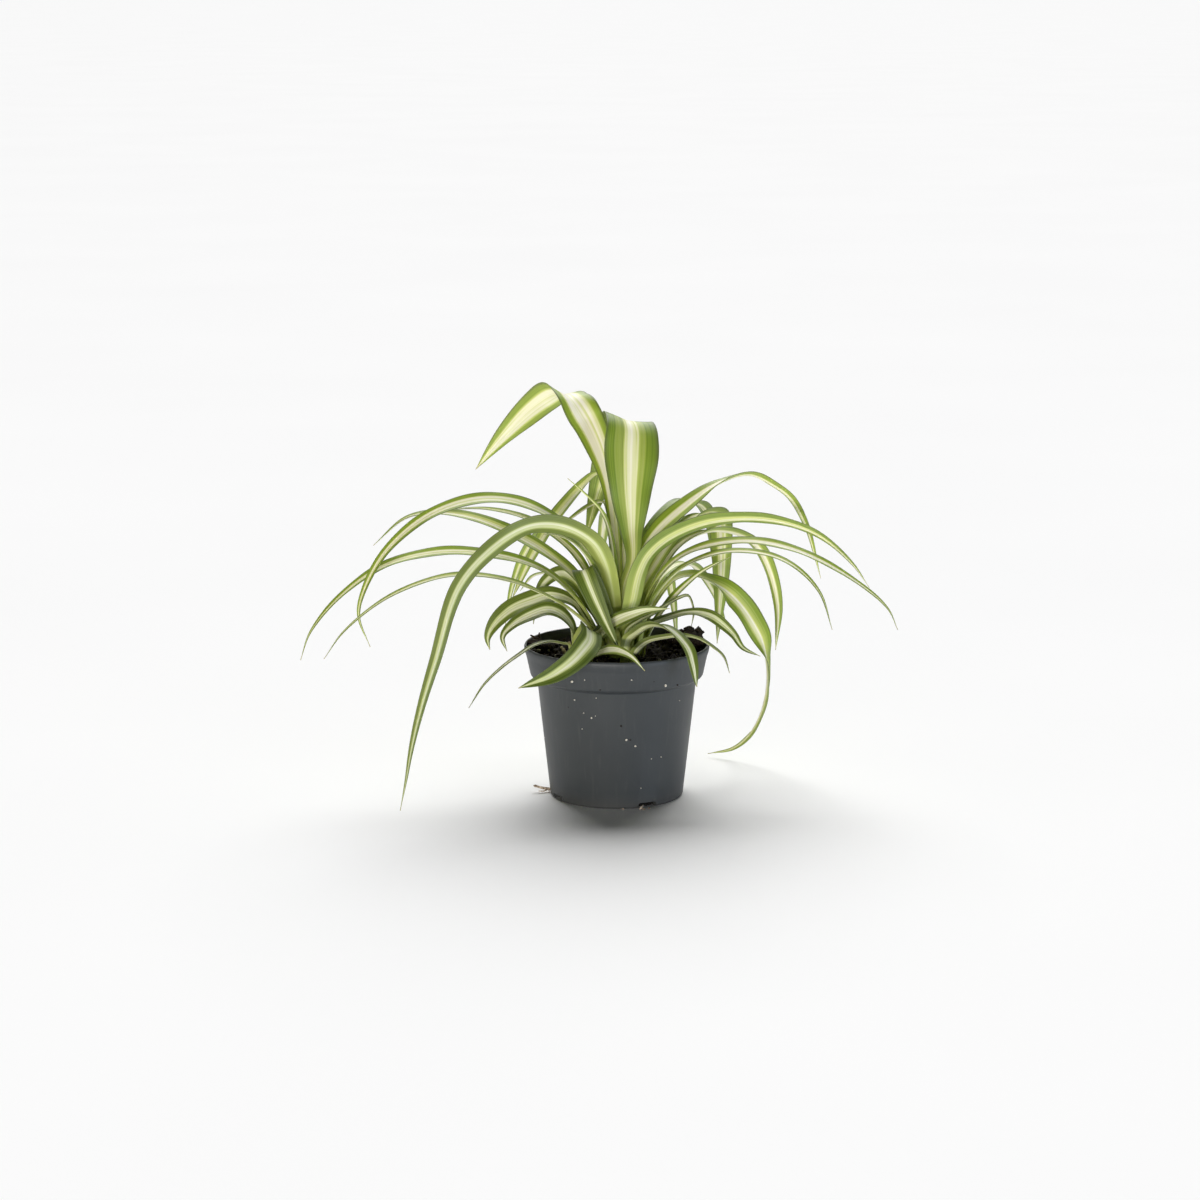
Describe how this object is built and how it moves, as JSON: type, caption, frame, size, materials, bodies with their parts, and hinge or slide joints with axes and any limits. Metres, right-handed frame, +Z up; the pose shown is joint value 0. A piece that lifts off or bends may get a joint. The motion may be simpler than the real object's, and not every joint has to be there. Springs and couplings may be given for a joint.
{
  "type": "potted spider plant",
  "caption": "Spider plant with white-striped arching leaves in a round grey plastic grower's pot, 10.5 cm across.",
  "frame": {"origin": "centre of the pot's foot, on the surface it stands on", "axes": "+Z up along the pot's axis, +Y to the back of the plant's best side, +X to its right"},
  "size_m": [0.3368, 0.2506, 0.2293],
  "materials": {
    "grower_plastic": "satin grey-blue polypropylene",
    "peat": "rough dark peat compost",
    "crown": "pale fleshy stem",
    "leaf_striped": "satin green leaf with a cream centre stripe",
    "leaf_dark_striped": "satin dark green leaf with a pale centre stripe"
  },
  "bodies": {
    "root": {"pot": "grower_plastic", "soil": "peat", "crown_main": "crown", "crown_left": "crown", "crown_right": "crown", "leaf_broad_back": "leaf_striped", "leaf_tall_back_left": "leaf_striped", "leaf_upright_left": "leaf_striped", "leaf_thin_arch_right": "leaf_striped", "leaf_back_left_long": "leaf_striped", "leaf_front_left_arch": "leaf_striped", "leaf_dome_back": "leaf_striped", "leaf_big_arch_right": "leaf_striped", "leaf_thin_back_left": "leaf_striped", "leaf_long_arch_left": "leaf_striped", "leaf_droop_right": "leaf_striped", "leaf_long_right": "leaf_striped", "leaf_back": "leaf_striped", "leaf_left_short": "leaf_striped", "leaf_under_front_left": "leaf_striped", "leaf_back_left": "leaf_striped", "leaf_mid_droop_right": "leaf_striped", "leaf_thin_right": "leaf_striped", "leaf_back_right": "leaf_striped", "leaf_under_arch_left": "leaf_striped", "leaf_big_droop_right": "leaf_striped", "leaf_low_back_left": "leaf_striped", "leaf_low_back": "leaf_striped", "leaf_mid_arch_left": "leaf_striped", "leaf_level_right": "leaf_striped", "leaf_hang_left": "leaf_striped", "leaf_low_left": "leaf_striped", "leaf_hoop_left": "leaf_striped", "leaf_folded_front": "leaf_striped", "small_leaf_left_curl": "leaf_dark_striped", "small_leaf_thin_over_rim": "leaf_dark_striped", "small_leaf_over_rim": "leaf_dark_striped", "small_leaf_front_pale": "leaf_dark_striped", "small_leaf_low_front": "leaf_dark_striped", "small_leaf_right_over_rim": "leaf_dark_striped", "small_leaf_right_low": "leaf_dark_striped", "small_leaf_right_reach": "leaf_dark_striped", "small_leaf_right_hoop": "leaf_dark_striped"}
  },
  "joints": []
}
